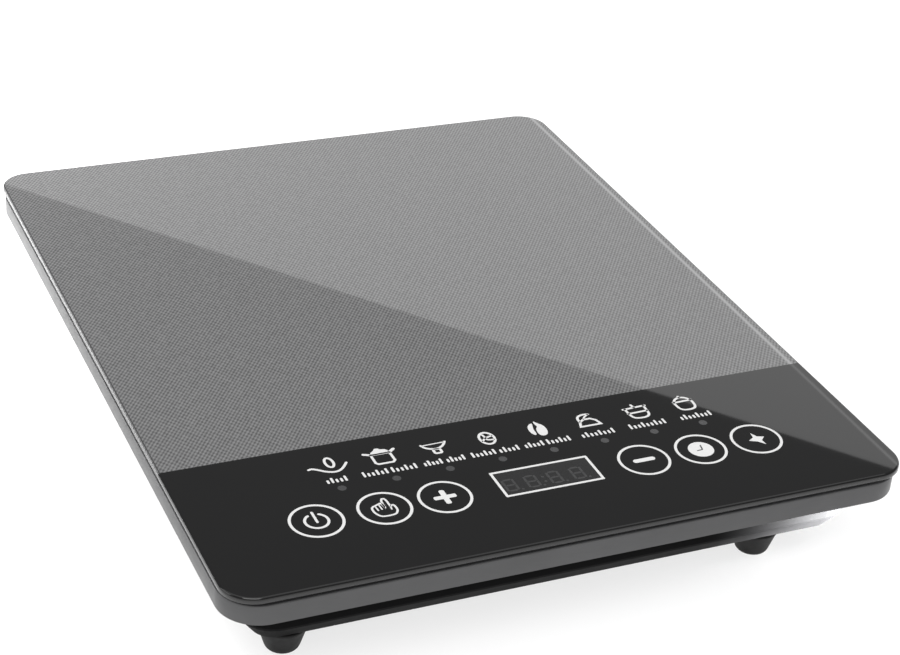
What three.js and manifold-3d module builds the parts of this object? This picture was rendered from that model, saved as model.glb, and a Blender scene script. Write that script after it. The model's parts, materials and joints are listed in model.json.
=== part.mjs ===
// Portable induction cooktop: a printed glass plate on a moulded case, with its coil, boards and fan.
//
// Millimetres, +Z up, +X to the right, the control strip at -Y.
// The origin lies on the surface that the feet stand on, under the centre of the glass plate.

import * as THREE from 'three';
import { mergeVertices } from 'three/addons/utils/BufferGeometryUtils.js';
import Module from 'manifold-3d';

const wasm = await Module();
wasm.setup();

// ---- Driving dimensions ------------------------------------------------------------------------

const GAP = 0.3; // clearance between neighbouring pieces
const QUARTER_TURN = Math.PI / 2;
const CORNER_STEPS = 8; // facets on a quarter round of the case, outside
const INNER_STEPS = 3; // and on its hidden faces

const outline = (x0, x1, y0, y1, r) => ({ x0, x1, y0, y1, r });
const grown = (o, d) => outline(o.x0 - d, o.x1 + d, o.y0 - d, o.y1 + d, o.r + d);

const GLASS = {
  outline: outline(-140, 140, -175, 175, 13.5),
  bottom: 36.3,
  top: 39,
  bevelOut: 0.9,
  bevelDown: 1.1,
};

const FRAME = {
  outline: outline(-139.7, 139.7, -174.7, 174.7, 16.5),
  bottom: 26.2,
  top: 34.7,
  wall: 2.2,
  flange: 2, // thickness of the flange that closes the frame's underside
  flangeLip: 2.7, // how far the flange runs in past the shell's wall
  ledgeBottom: 31.9,
  ledgeWidth: 9, // how far the ledge under the glass runs in past the wall
  sealWidth: 8,
  skirt: 1.6, // thickness of the skirt that drops inside the shell
  skirtBottom: 23.8,
};

const SHELL = {
  base: outline(-125.5, 115, -164.6, 164.6, 8.5),
  bottom: 11.5,
  floor: 2.2,
  wall: 2.2,
  spread: 5.5, // how far the upper walls stand outside the base
  slopeTop: 19.8,
  top: FRAME.bottom - GAP,
};

const FOOT = {
  places: {
    front_left: [-112.5, -154.5],
    front_right: [84.5, -154.5],
    rear_left: [-112.5, 154.5],
    rear_right: [84.5, 154.5],
  },
  studRadius: 3,
  studTop: 16.2,
};

const SCREW = { shank: 1.3, pilot: 1.6, head: 2.6, headHeight: 1.6 };

const CASE_SCREW = {
  // each place is on the side of the case that its ear runs out to
  places: [
    [-117, -120, 'left'],
    [-117, 120, 'left'],
    [107, -120, 'right'],
    [107, 120, 'right'],
    [-5.3, -158.5, 'front'],
    [-5.3, 158.5, 'rear'],
  ],
  shellBoss: 5.2,
  frameBoss: 4.2,
  recess: 3.5,
  recessTop: 17,
  bossTop: 23,
  head: 3.1,
  headHeight: 2.3,
  tip: 27,
};

const GLAND = { x: 80, z: 20, barrel: 4.2, flange: 5.4, bore: 3.4, inner: 160, outer: 170.4, tip: 174.8 };

const FAN = { x: -85, y: -68, size: 70, bottom: 14.6, height: 15, duct: 33, hub: 13.5, hole: 30.5 };

const INTAKE = { radius: 31, pitch: 6.6, width: 3.4, rows: 4 };
const EXHAUST = { first: -106, last: 60, pitch: 9, width: 4.2, bottom: 15.6, top: 23.6 };
const FLOOR_VENT = { first: -88, last: 60, pitch: 9, width: 4, y0: 140, y1: 152 };

const COIL = {
  x: -5,
  y: 42,
  inner: 24.5,
  outer: 84.5,
  formerBottom: 29,
  formerPlate: 2,
  top: 34.9,
  rim: 88,
  rimWall: 2,
  arms: 6,
  armWidth: 18,
  earRadius: 90,
  earAngles: [90, 210, 330],
};

const FERRITE = { length: 48, width: 14, height: 4, middle: 54 };
const MICA = { radius: 85, hole: 8.5, bottom: 35.2, top: 36 };

const POWER_BOARD = { outline: outline(-44, 92, -150, -46, 2), bottom: 17, top: 18.6 };
const POWER_POSTS = [[-39.5, -145.5], [87.5, -50.5], [-39.5, -50.5], [87.5, -145.5]];

const CONTROL_BOARD = { outline: outline(-108, 101, -153, -108, 2), bottom: 27.5, top: 29.1 };
const CONTROL_POSTS = [[-104, -149], [97, -113], [97, -149], [-104, -113]];

const KEYS = { y: -136.7, x: [-94.1, -67.3, -43.1, 41, 66.2, 91.4], radius: 5 };
const LAMPS = { y: -119.7, first: -77.6, pitch: 22.04, count: 8, size: 3, height: 1.5 };
const DISPLAY = { x0: -22, x1: 22, y0: -145.5, y1: -126, top: 35.7 };

// ---- Finishes ----------------------------------------------------------------------------------

const FINISHES = {
  glass: [0x2d2d2e, 0.08, 0],
  frame: [0x8a8b8d, 0.35, 0.1],
  shell: [0x1f1f20, 0.35, 0],
  rubber: [0x161616, 0.8, 0],
  seal: [0xb9b9b4, 0.7, 0],
  screw: [0x9a9da0, 0.35, 1],
  former: [0xd8d3c6, 0.6, 0],
  copper: [0xb5673a, 0.4, 0.8],
  ferrite: [0x35363a, 0.75, 0],
  mica: [0xcfc3a0, 0.6, 0],
  silicone: [0xe6e6e2, 0.7, 0],
  board: [0x2f6b3c, 0.5, 0],
  aluminium: [0xb9bcc0, 0.4, 1],
  blackPart: [0x1b1b1d, 0.5, 0],
  bluePart: [0x2f5d9c, 0.45, 0],
  yellowPart: [0xd9b13a, 0.5, 0],
  whitePart: [0xe4e4e0, 0.5, 0],
  wire: [0xb7332c, 0.5, 0],
};

// ---- Solids ------------------------------------------------------------------------------------

function signedVolume(positions, index) {
  const corners = [new THREE.Vector3(), new THREE.Vector3(), new THREE.Vector3()];
  let volume = 0;
  for (let i = 0; i < index.length; i += 3) {
    corners.forEach((corner, k) => corner.fromArray(positions, 3 * index[i + k]));
    volume += corners[0].dot(corners[1].cross(corners[2])) / 6;
  }
  return volume;
}

// Turns a closed three.js geometry into a solid that can be joined and cut.
function solid(geometry) {
  const bare = geometry.clone();
  bare.deleteAttribute('normal');
  bare.deleteAttribute('uv');
  const merged = mergeVertices(bare, 1e-4);
  const vertProperties = new Float32Array(merged.attributes.position.array);
  const triVerts = new Uint32Array(merged.index.array);
  if (signedVolume(vertProperties, triVerts) < 0) triVerts.reverse();
  return new wasm.Manifold(new wasm.Mesh({ numProp: 3, vertProperties, triVerts }));
}

function geometryOf(body) {
  const { vertProperties, triVerts } = body.getMesh();
  const geometry = new THREE.BufferGeometry();
  geometry.setAttribute('position', new THREE.BufferAttribute(vertProperties, 3));
  geometry.setIndex(new THREE.BufferAttribute(triVerts, 1));
  geometry.computeVertexNormals();
  return geometry;
}

const joined = (first, ...others) => others.reduce((sum, next) => sum.add(next), first);
const cut = (body, ...tools) => tools.reduce((rest, tool) => rest.subtract(tool), body);

function box(x0, x1, y0, y1, z0, z1) {
  const geometry = new THREE.BoxGeometry(x1 - x0, y1 - y0, z1 - z0);
  return solid(geometry.translate((x0 + x1) / 2, (y0 + y1) / 2, (z0 + z1) / 2));
}

function cylinder(x, y, z0, z1, radius, sides = 20) {
  const geometry = new THREE.CylinderGeometry(radius, radius, z1 - z0, sides);
  return solid(geometry.rotateX(QUARTER_TURN).translate(x, y, (z0 + z1) / 2));
}

// A turned body about Z from its profile of [radius, height] points.
function turned(profile, sides) {
  const points = profile.map(([r, z]) => new THREE.Vector2(r, z));
  return solid(new THREE.LatheGeometry(points, sides).rotateX(QUARTER_TURN));
}

// A turned ring: its profile closes on itself.
const turnedRing = (profile, sides) => turned([...profile, profile[0]], sides);

function outlinePoints(o, steps) {
  const centres = [
    [o.x1 - o.r, o.y1 - o.r],
    [o.x0 + o.r, o.y1 - o.r],
    [o.x0 + o.r, o.y0 + o.r],
    [o.x1 - o.r, o.y0 + o.r],
  ];
  return centres.flatMap(([x, y], quarter) =>
    Array.from({ length: steps + 1 }, (_, i) => {
      const angle = (quarter + i / steps) * QUARTER_TURN;
      return new THREE.Vector2(x + o.r * Math.cos(angle), y + o.r * Math.sin(angle));
    }),
  );
}

// A closed body whose wall passes through one rounded rectangle after another, from the bottom up.
function loft(levels, steps = CORNER_STEPS) {
  const rings = levels.map(([, o]) => outlinePoints(o, steps));
  const count = rings[0].length;
  const positions = rings.flatMap((ring, level) => ring.flatMap((p) => [p.x, p.y, levels[level][0]]));
  const index = [];
  for (let level = 0; level + 1 < rings.length; level += 1) {
    for (let i = 0; i < count; i += 1) {
      const a = level * count + i;
      const b = level * count + ((i + 1) % count);
      index.push(a, b, b + count, a, b + count, a + count);
    }
  }
  const last = (rings.length - 1) * count;
  for (const [a, b, c] of THREE.ShapeUtils.triangulateShape(rings[0], [])) index.push(c, b, a);
  for (const [a, b, c] of THREE.ShapeUtils.triangulateShape(rings.at(-1), [])) {
    index.push(last + a, last + b, last + c);
  }
  const geometry = new THREE.BufferGeometry();
  geometry.setAttribute('position', new THREE.Float32BufferAttribute(positions, 3));
  geometry.setIndex(index);
  return solid(geometry);
}

const slab = (o, z0, z1, steps) => loft([[z0, o], [z1, o]], steps);

// A slot with round ends, running along Y.
function slot(x, y0, y1, width, z0, z1) {
  return slab(outline(x - width / 2, x + width / 2, y0, y1, width / 2 - 0.01), z0, z1, 2);
}

// A wire or flat cable: one section drawn along a smooth curve through the points.
function drawn(section, points, steps) {
  const path = new THREE.CatmullRomCurve3(points.map(([x, y, z]) => new THREE.Vector3(x, y, z)));
  return solid(new THREE.ExtrudeGeometry(section, { extrudePath: path, steps, curveSegments: 3 }));
}

function wire(radius, points, steps = 10) {
  return drawn(new THREE.Shape().absarc(0, 0, radius, 0, 2 * Math.PI), points, steps);
}

// A pan-head screw, head up, with the underside of its head at the origin.
function screw(headRadius, headHeight, shank, length) {
  return turned(
    [
      [0, -length],
      [shank, -length + 1.5],
      [shank, 0],
      [headRadius, 0],
      [headRadius, headHeight * 0.55],
      [headRadius * 0.72, headHeight],
      [0, headHeight],
    ],
    8,
  );
}

// The same screw with a cross cut in its head, for the places where it shows.
function crossHeadScrew(headRadius, headHeight, shank, length) {
  const reach = headRadius * 0.55;
  const depth = headHeight * 0.6;
  return cut(
    screw(headRadius, headHeight, shank, length),
    box(-reach, reach, -0.35, 0.35, depth, headHeight + 1),
    box(-0.35, 0.35, -reach, reach, depth, headHeight + 1),
  );
}

// ---- Case --------------------------------------------------------------------------------------

function makeGlassPlate() {
  const { outline: edge, bottom, top, bevelOut, bevelDown } = GLASS;
  return loft([
    [bottom, grown(edge, -0.3)],
    [bottom + 0.3, edge],
    [top - bevelDown, edge],
    [top, grown(edge, -bevelOut)],
  ]);
}

function makeGlassSeal() {
  const outer = grown(FRAME.outline, -0.5);
  const inner = grown(outer, -FRAME.sealWidth);
  const z0 = FRAME.top + GAP;
  const z1 = GLASS.bottom - GAP;
  return cut(slab(outer, z0, z1, INNER_STEPS), slab(inner, z0 - 1, z1 + 1, INNER_STEPS));
}

// The shell's outside: a flat base with a rounded edge, sloping lower walls and upright upper ones.
const shellOutside = () =>
  loft([
    [SHELL.bottom, grown(SHELL.base, -1)],
    [SHELL.bottom + 0.4, grown(SHELL.base, -0.25)],
    [SHELL.bottom + 1.3, grown(SHELL.base, 0.5)],
    [SHELL.slopeTop - 1.2, grown(SHELL.base, SHELL.spread - 0.6)],
    [SHELL.slopeTop, grown(SHELL.base, SHELL.spread - 0.1)],
    [SHELL.top, grown(SHELL.base, SHELL.spread)],
  ]);

const shellHollow = () =>
  loft(
    [
      [SHELL.bottom + SHELL.floor, grown(SHELL.base, -SHELL.wall)],
      [SHELL.slopeTop + SHELL.floor, shellInside(0)],
      [SHELL.top + 1, shellInside(0)],
    ],
    INNER_STEPS,
  );

const shellInside = (margin) => grown(SHELL.base, SHELL.spread - SHELL.wall - margin);

function makeTopFrame() {
  const { outline: edge, bottom, top, wall } = FRAME;
  const inside = grown(edge, -wall);
  const flangeTop = bottom + FRAME.flange;
  const body = loft([
    [bottom, grown(edge, -0.6)],
    [bottom + 0.4, grown(edge, -0.12)],
    [bottom + 1, edge],
    [top - 0.5, edge],
    [top - 0.15, grown(edge, -0.15)],
    [top, grown(edge, -0.5)],
  ]);
  const rim = cut(
    body,
    slab(inside, flangeTop, FRAME.ledgeBottom, INNER_STEPS),
    slab(grown(inside, -FRAME.ledgeWidth), flangeTop, top + 1, INNER_STEPS),
    slab(shellInside(FRAME.flangeLip), bottom - 1, flangeTop + 1, INNER_STEPS),
  );
  const skirt = cut(
    slab(shellInside(GAP), FRAME.skirtBottom, bottom + 0.5, INNER_STEPS),
    slab(shellInside(GAP + FRAME.skirt), FRAME.skirtBottom - 1, bottom + 1, INNER_STEPS),
    box(GLAND.x - 10.5, GLAND.x + 10.5, 150, 172, FRAME.skirtBottom - 1, bottom),
  );
  const ears = CASE_SCREW.places.map(([x, y, side]) => caseEar(x, y, side));
  const pilots = CASE_SCREW.places.map(([x, y]) => cylinder(x, y, 20, 27.4, SCREW.pilot, 12));
  return cut(joined(rim, skirt, ...ears), ...pilots);
}

// The screw boss under the frame, and the ear that ties it to the flange.
function caseEar(x, y, side) {
  const { x0, x1, y0, y1 } = shellInside(FRAME.flangeLip - 1);
  const half = CASE_SCREW.frameBoss - 0.4;
  const reach = {
    left: [x0, x, y - half, y + half],
    right: [x, x1, y - half, y + half],
    front: [x - half, x + half, y0, y],
    rear: [x - half, x + half, y, y1],
  }[side];
  const top = FRAME.bottom + FRAME.flange;
  return joined(
    box(...reach, FRAME.bottom, top),
    cylinder(x, y, CASE_SCREW.bossTop + GAP, top, CASE_SCREW.frameBoss, 16),
  );
}

function makeBottomShell() {
  const floorTop = SHELL.bottom + SHELL.floor;
  const tray = cut(shellOutside(), shellHollow());
  const post = (radius, top) => ([x, y]) => cylinder(x, y, floorTop - 1, top, radius, 8);
  const posts = [
    ...POWER_POSTS.map(post(3, POWER_BOARD.bottom - GAP)),
    ...CONTROL_POSTS.map(post(2.8, CONTROL_BOARD.bottom - GAP)),
    ...coilEars().map(post(3.4, COIL.formerBottom - GAP)),
    ...CASE_SCREW.places.map(post(CASE_SCREW.shellBoss, CASE_SCREW.bossTop)),
    box(GLAND.x - 9, GLAND.x + 9, GLAND.inner, SHELL.base.y1 + SHELL.spread, SHELL.bottom, SHELL.top),
  ];
  const drill = (radius, bottom, top) => ([x, y]) => cylinder(x, y, bottom, top, radius, 10);
  const holes = [
    ...POWER_POSTS.slice(0, 2).map(drill(SCREW.pilot, 12.8, 20)),
    ...CONTROL_POSTS.slice(0, 2).map(drill(SCREW.pilot, 18, 30)),
    ...coilEars().map(drill(SCREW.pilot, 18, 32)),
    ...CASE_SCREW.places.map(drill(CASE_SCREW.recess, 10, CASE_SCREW.recessTop)),
    ...CASE_SCREW.places.map(drill(SCREW.pilot, 10, 30)),
    ...fanScrewPlaces().map(drill(SCREW.pilot + 0.1, 10, 16)),
    ...Object.values(FOOT.places).map(drill(FOOT.studRadius + GAP, 10, 16)),
    glandBarrel(GLAND.barrel + GAP, GLAND.inner - 1, 180),
  ];
  return cut(joined(tray, ...posts), ...holes, ...intakeSlots(), ...exhaustSlots());
}

function intakeSlots() {
  const slots = [];
  for (let row = -INTAKE.rows; row <= INTAKE.rows; row += 1) {
    const offset = row * INTAKE.pitch;
    const half = Math.sqrt(INTAKE.radius ** 2 - offset ** 2);
    slots.push(slot(FAN.x + offset, FAN.y - half, FAN.y + half, INTAKE.width, 10, 16));
  }
  return slots;
}

function exhaustSlots() {
  const slots = [];
  const clearOf = (x, places, margin) => places.every((place) => Math.abs(x - place) > margin);
  const rearBoss = CASE_SCREW.places[5][0];
  for (let x = EXHAUST.first; x <= EXHAUST.last; x += EXHAUST.pitch) {
    if (!clearOf(x, [rearBoss], CASE_SCREW.shellBoss + 2)) continue;
    const half = EXHAUST.width / 2;
    slots.push(box(x - half, x + half, 158, 176, EXHAUST.bottom, EXHAUST.top));
  }
  for (let x = FLOOR_VENT.first; x <= FLOOR_VENT.last; x += FLOOR_VENT.pitch) {
    if (!clearOf(x, [rearBoss, FOOT.places.rear_right[0]], 11)) continue;
    slots.push(slot(x, FLOOR_VENT.y0, FLOOR_VENT.y1, FLOOR_VENT.width, 10, 16));
  }
  return slots;
}

function makeFoot() {
  const top = SHELL.bottom - GAP;
  return turned(
    [
      [0, 0],
      [5, 0],
      [6.3, 0.5],
      [6.95, 1.9],
      [9.1, 9.6],
      [9.7, top - 0.7],
      [9.3, top],
      [FOOT.studRadius, top],
      [FOOT.studRadius, FOOT.studTop - 0.6],
      [FOOT.studRadius - 0.6, FOOT.studTop],
      [0, FOOT.studTop],
    ],
    20,
  );
}

function glandBarrel(radius, y0, y1) {
  const geometry = new THREE.CylinderGeometry(radius, radius, y1 - y0, 12);
  return solid(geometry.translate(GLAND.x, (y0 + y1) / 2, GLAND.z));
}

// The cord's bush: a flange on each side of the wall, and a short nose outside.
function makeCordGland() {
  const { inner, outer, tip, barrel, flange, bore } = GLAND;
  const back = inner - GAP;
  const profile = [
    [bore, back - 2],
    [flange - 0.4, back - 2],
    [flange, back - 1.6],
    [flange, back],
    [barrel, back],
    [barrel, outer],
    [flange, outer],
    [flange, outer + 1.2],
    [flange - 0.5, outer + 1.7],
    [barrel + 0.5, outer + 1.7],
    [barrel + 0.2, tip - 0.4],
    [barrel - 0.2, tip],
    [bore, tip],
  ];
  const points = [...profile, profile[0]].map(([r, y]) => new THREE.Vector2(r, y));
  return solid(new THREE.LatheGeometry(points, 12).translate(GLAND.x, 0, GLAND.z));
}

// ---- Coil --------------------------------------------------------------------------------------

const degrees = (angle) => (angle * Math.PI) / 180;

function coilEars() {
  const around = (angle) => [
    COIL.x + COIL.earRadius * Math.cos(degrees(angle)),
    COIL.y + COIL.earRadius * Math.sin(degrees(angle)),
  ];
  return COIL.earAngles.map(around);
}

// The former is made about its own centre, with its base plate on z = 0.
function makeCoilFormer() {
  const { inner, rim, rimWall, formerPlate: plate, arms, armWidth } = COIL;
  const height = COIL.top - COIL.formerBottom;
  const hub = cylinder(0, 0, 0, plate, inner - GAP, 24);
  const hubWall = cut(cylinder(0, 0, 0, height, inner - GAP, 24), cylinder(0, 0, plate, 10, inner - 2, 24));
  const bore = () => cylinder(0, 0, -1, 10, rim - rimWall, 40);
  const ring = cut(cylinder(0, 0, 0, height, rim, 40), bore());
  const parts = [hubWall, ring];
  for (let i = 0; i < arms; i += 1) {
    const arm = joined(
      box(inner - 4, rim - 1, -armWidth / 2, armWidth / 2, 0, plate),
      box(inner + 3, rim - 7, -armWidth / 2, 1.2 - armWidth / 2, -4, plate),
      box(inner + 3, rim - 7, armWidth / 2 - 1.2, armWidth / 2, -4, plate),
    );
    parts.push(arm.rotate([0, 0, (360 * i) / arms]));
  }
  for (const angle of COIL.earAngles) {
    const x = COIL.earRadius * Math.cos(degrees(angle));
    const y = COIL.earRadius * Math.sin(degrees(angle));
    parts.push(cut(cylinder(x, y, 0, plate, 6, 16), bore()));
  }
  const holes = COIL.earAngles.map((angle) =>
    cylinder(COIL.earRadius * Math.cos(degrees(angle)), COIL.earRadius * Math.sin(degrees(angle)), -1, 8, 3.1, 12),
  );
  return cut(joined(hub, ...parts), ...holes);
}

function makeCoilWinding() {
  const height = COIL.top - COIL.formerBottom - COIL.formerPlate - GAP;
  return turnedRing(
    [
      [COIL.inner, 0.5],
      [COIL.inner + 0.5, 0],
      [COIL.outer - 0.5, 0],
      [COIL.outer, 0.5],
      [COIL.outer, height - 0.5],
      [COIL.outer - 0.5, height],
      [COIL.inner + 0.5, height],
      [COIL.inner, height - 0.5],
    ],
    32,
  );
}

function makeFerriteBar() {
  const { length, width, height } = FERRITE;
  const side = outline(-length / 2, length / 2, -width / 2, width / 2, 1);
  return slab(side, 0, height, 2);
}

function makeMicaSheet() {
  const { radius, hole, bottom, top } = MICA;
  const height = top - bottom;
  return turnedRing([[hole, 0], [radius, 0], [radius, height], [hole, height]], 32);
}

function makeSensorCap() {
  const height = GLASS.bottom - GAP - COIL.formerBottom - COIL.formerPlate - GAP;
  return turned([[0, 0], [8, 0], [8, 1.2], [6, 1.8], [5.6, height - 0.6], [5, height], [0, height]], 14);
}

// ---- Boards ------------------------------------------------------------------------------------

function makeBoard({ outline: edge, bottom, top }, posts) {
  const holes = posts.map(([x, y]) => cylinder(x, y, bottom - 1, top + 1, SCREW.pilot + 0.1, 12));
  return cut(slab(edge, bottom, top, 2), ...holes);
}

function makeControlBoard() {
  const half = LAMPS.size / 2;
  const lamps = Array.from({ length: LAMPS.count }, (_, i) => {
    const x = LAMPS.first + i * LAMPS.pitch;
    const z = CONTROL_BOARD.top;
    return box(x - half, x + half, LAMPS.y - half, LAMPS.y + half, z - 0.5, z + LAMPS.height);
  });
  return joined(makeBoard(CONTROL_BOARD, CONTROL_POSTS), ...lamps);
}

function makeDisplayModule() {
  const { x0, x1, y0, y1, top } = DISPLAY;
  const body = box(x0, x1, y0, y1, CONTROL_BOARD.top + GAP, top);
  return cut(body, box(x0 + 1.5, x1 - 1.5, y0 + 1.5, y1 - 1.5, top - 0.8, top + 1));
}

// A touch key's spring, drawn as its outer sleeve: it stands on the board and presses on the glass.
function makeTouchSpring() {
  const height = GLASS.bottom - GAP - CONTROL_BOARD.top - GAP;
  const { radius } = KEYS;
  return turnedRing(
    [
      [radius - 1, 0],
      [radius, 0],
      [radius - 0.8, height / 2],
      [radius, height],
      [radius - 1, height],
      [radius - 1.8, height / 2],
    ],
    10,
  );
}

// Aluminium extrusion on two legs, with its fins on top.
function makeHeatsink() {
  const { x0, x1, y0, y1 } = { x0: -36, x1: 34, y0: -104, y1: -58 };
  const board = POWER_BOARD.top + GAP;
  const plate = [24.2, 27.2];
  const parts = [
    box(x0, x1, y0, y1, ...plate),
    box(x0, x0 + 3, y0, y1, board, plate[1]),
    box(x1 - 3, x1, y0, y1, board, plate[1]),
  ];
  const fins = 9;
  const pitch = (y1 - y0 - 1.6) / (fins - 1);
  for (let i = 0; i < fins; i += 1) {
    const y = y0 + i * pitch;
    parts.push(box(x0, x1, y, y + 1.6, plate[0] + 1, 34.5));
  }
  return joined(...parts);
}

// A flat-packaged power device with its mounting hole.
function makePowerTransistor() {
  const z0 = POWER_BOARD.top + GAP;
  return cut(box(-30, -14, -92, -71, z0, z0 + 5), cylinder(-22, -76, z0 - 1, z0 + 6, 1.8, 12));
}

function makeBridgeRectifier() {
  const z0 = POWER_BOARD.top + GAP;
  const body = cut(box(0, 26, -89, -73, z0, z0 + 4.6), cylinder(13, -81, z0 - 1, z0 + 6, 1.7, 12));
  return cut(body, box(24, 27, -75, -72, z0 - 1, z0 + 6));
}

function makeBlockPart(x0, x1, y0, y1, z1) {
  return slab(outline(x0, x1, y0, y1, 1.2), POWER_BOARD.top + GAP, z1, 2);
}

// A ring core wound with enamelled wire.
function makeChokeCoil() {
  const geometry = new THREE.TorusGeometry(9, 4.4, 8, 16);
  return solid(geometry.translate(78, -66, POWER_BOARD.top + GAP + 4.4));
}

function makeElectrolyticCapacitor() {
  return turned([[0, 0], [5, 0], [5, 0.9], [4.6, 1.2], [5, 1.5], [5, 7.4], [4.7, 7.7], [0, 7.7]], 12);
}

function makeSmallTransformer() {
  const z0 = POWER_BOARD.top + GAP;
  return joined(
    box(-20, 2, -141, -123, z0, z0 + 1.6),
    box(-17, -1, -138, -126, z0, z0 + 7.4),
    box(-19, 1, -134.5, -129.5, z0, z0 + 7.7),
  );
}

function makeFuse() {
  const z = POWER_BOARD.top + GAP + 2.9;
  const tube = turned([[0, -10], [2.9, -10], [2.9, -5], [2.5, -5], [2.5, 5], [2.9, 5], [2.9, 10], [0, 10]], 14);
  return tube.rotate([0, 90, 0]).translate([66, -120, z]);
}

function makeBuzzer() {
  return turned([[0, 0], [6, 0], [6, 6.6], [5.6, 7], [1.2, 7], [1.2, 5.6], [0, 5.6]], 14);
}

// Two screw clamps in one moulded body, with a mouth for each conductor.
function makeMainsTerminal() {
  const z0 = POWER_BOARD.top + GAP;
  const body = box(74, 90, -106, -94, z0, z0 + 10);
  const mouths = [78, 86].flatMap((x) => [
    box(x - 1.8, x + 1.8, -98, -90, z0 + 1.5, z0 + 5.5),
    cylinder(x, -100, z0 + 7, z0 + 12, 2, 12),
  ]);
  return cut(body, ...mouths);
}

function flatCable() {
  const section = [[-7, -0.45], [7, -0.45], [7, 0.45], [-7, 0.45]].map(([x, y]) => new THREE.Vector2(x, y));
  const route = [[52, -107.7, 28.3], [52, -104.8, 27.4], [52, -103.2, 23], [52, -103, 19.4]];
  return drawn(new THREE.Shape(section), route, 10);
}

const coilLeadOuter = () =>
  wire(1.4, [[17.9, -48.2, 32.6], [17.9, -50.2, 31.4], [17.9, -51.6, 26], [17.9, -52, 19.2]]);

const coilLeadInner = () =>
  wire(1.4, [[-5, 14, 27.2], [-5, -20, 27.2], [-5, -44, 26.6], [-5, -51, 23.5], [-5, -52.5, 19.2]], 20);

const fanLead = () =>
  wire(1.1, [[-49.5, -100, 22.4], [-46.4, -103, 22.2], [-42.5, -107, 20.9], [-40, -110, 20.3]]);

// ---- Fan ---------------------------------------------------------------------------------------

function fanScrewPlaces() {
  return [[FAN.x - FAN.hole, FAN.y - FAN.hole], [FAN.x + FAN.hole, FAN.y + FAN.hole]];
}

// The frame is made about the fan's axis, with its base on z = 0.
function makeFanFrame() {
  const { size, height, duct, hole } = FAN;
  const half = size / 2;
  const body = slab(outline(-half, half, -half, half, 4), 0, height, 4);
  const ring = cut(body, cylinder(0, 0, -1, height + 1, duct, 32));
  const hub = cylinder(0, 0, 0, 2, 12.5, 24);
  const bearing = cylinder(0, 0, 0, 8, 3.4, 16);
  const struts = [0, 90, 180, 270].map((angle) => box(11, duct + 1, -1.6, 1.6, 0, 2).rotate([0, 0, angle + 45]));
  const corners = [[-hole, -hole], [hole, -hole], [hole, hole], [-hole, hole]];
  const holes = corners.map(([x, y]) => cylinder(x, y, -1, height + 1, SCREW.pilot + 0.1, 12));
  return cut(joined(ring, hub, bearing, ...struts), ...holes, cylinder(0, 0, 1, 9, 1.6, 16));
}

// The rotor turns about the same axis: a cup over the bearing, its shaft, and seven pitched blades.
function makeFanRotor() {
  const { hub, duct, height } = FAN;
  const top = height - 0.8;
  const cup = turned(
    [
      [0, 1.6],
      [1.25, 1.6],
      [1.25, 9],
      [hub - 1.5, 9],
      [hub - 1.5, 2.6],
      [hub, 2.6],
      [hub, top - 0.6],
      [hub - 0.6, top],
      [0, top],
    ],
    20,
  );
  const blades = 7;
  const parts = [cup];
  for (let i = 0; i < blades; i += 1) {
    const blade = new THREE.BoxGeometry(duct - hub, 15, 1.2, 4, 1, 1);
    const places = blade.attributes.position;
    for (let k = 0; k < places.count; k += 1) {
      const along = places.getX(k) / (duct - hub) + 0.5;
      const pitch = degrees(48 - 18 * along);
      const [y, z] = [places.getY(k), places.getZ(k)];
      places.setXYZ(
        k,
        hub - 0.8 + along * (duct - hub - 0.4),
        y * Math.cos(pitch) - z * Math.sin(pitch),
        8.4 + y * Math.sin(pitch) * 0.9 + z * Math.cos(pitch),
      );
    }
    parts.push(solid(blade).rotate([0, 0, (360 * i) / blades]));
  }
  return joined(...parts);
}

// ---- Assembly ----------------------------------------------------------------------------------

const cooktop = new THREE.Group();

function add(name, body, finish, position = [0, 0, 0], turn = [0, 0, 0]) {
  const [color, roughness, metalness] = FINISHES[finish];
  const mesh = new THREE.Mesh(geometryOf(body), new THREE.MeshStandardMaterial({ color, roughness, metalness }));
  mesh.name = name;
  mesh.position.set(...position);
  mesh.rotation.set(...turn);
  cooktop.add(mesh);
}

function addCase() {
  add('glass_plate', makeGlassPlate(), 'glass');
  add('glass_seal', makeGlassSeal(), 'seal');
  add('top_frame', makeTopFrame(), 'frame');
  add('bottom_shell', makeBottomShell(), 'shell');
  add('cord_gland', makeCordGland(), 'rubber');
  for (const [place, [x, y]] of Object.entries(FOOT.places)) {
    add(`foot_${place}`, makeFoot(), 'rubber', [x, y, 0]);
  }
  const { head, headHeight, recessTop, tip } = CASE_SCREW;
  const seat = recessTop - GAP;
  CASE_SCREW.places.forEach(([x, y], i) => {
    const body = crossHeadScrew(head, headHeight, SCREW.shank, tip - seat);
    add(`case_screw_${i + 1}`, body, 'screw', [x, y, seat], [Math.PI, 0, 0]);
  });
}

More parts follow.
